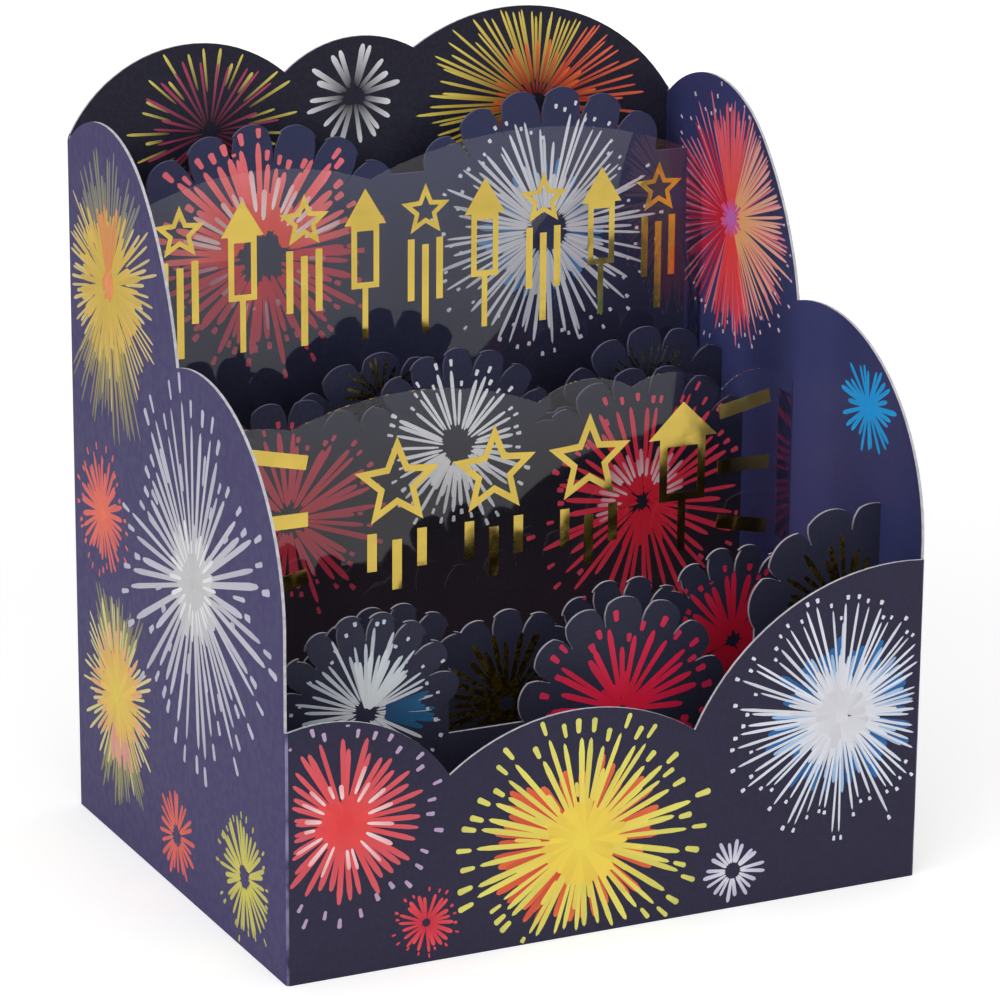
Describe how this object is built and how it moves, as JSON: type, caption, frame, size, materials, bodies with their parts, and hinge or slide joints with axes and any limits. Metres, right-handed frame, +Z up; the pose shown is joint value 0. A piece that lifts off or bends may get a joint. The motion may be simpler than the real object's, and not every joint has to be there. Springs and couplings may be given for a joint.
{
  "type": "pop up card",
  "caption": "Pop up box card: a folded sleeve of navy card with scalloped tops, crossed by die cut firework layers and clear films with gold foil figures.",
  "frame": {"origin": "under the middle of the card's box, on the surface that it stands on", "axes": "+X to the right seen from the front panel, +Y from the front panel to the back panel, +Z up"},
  "size_m": [0.102, 0.0816, 0.1204],
  "materials": {
    "navy_card": "satin printed card stock, deep navy on both faces",
    "clear_film": "clear polyester film",
    "gold_foil": "bright hot stamped gold foil",
    "silver_foil": "bright hot stamped silver foil",
    "red_ink": "satin printed ink",
    "coral_ink": "satin printed ink",
    "yellow_ink": "satin printed ink",
    "white_ink": "satin printed ink",
    "blue_ink": "satin printed ink"
  },
  "bodies": {
    "root": {"front_layer": "navy_card", "front_layer_gold": "gold_foil", "front_layer_red": "red_ink", "front_layer_white": "white_ink", "lower_film": "clear_film", "lower_foil": "gold_foil", "middle_layer": "navy_card", "middle_layer_red": "red_ink", "middle_layer_white": "white_ink", "rear_middle_layer": "navy_card", "rear_middle_layer_gold": "gold_foil", "second_layer": "navy_card", "second_layer_gold": "gold_foil", "second_layer_red": "red_ink", "sleeve": "navy_card", "sleeve_inside_blue": "blue_ink", "sleeve_inside_gold": "gold_foil", "sleeve_inside_red": "red_ink", "sleeve_inside_silver": "silver_foil", "sleeve_outside_blue": "blue_ink", "sleeve_outside_coral": "coral_ink", "sleeve_outside_gold": "gold_foil", "sleeve_outside_red": "red_ink", "sleeve_outside_silver": "silver_foil", "sleeve_outside_white": "white_ink", "sleeve_outside_yellow": "yellow_ink", "upper_film": "clear_film", "upper_foil": "gold_foil", "upper_layer": "navy_card", "upper_layer_red": "red_ink", "upper_layer_white": "white_ink"}
  },
  "joints": []
}
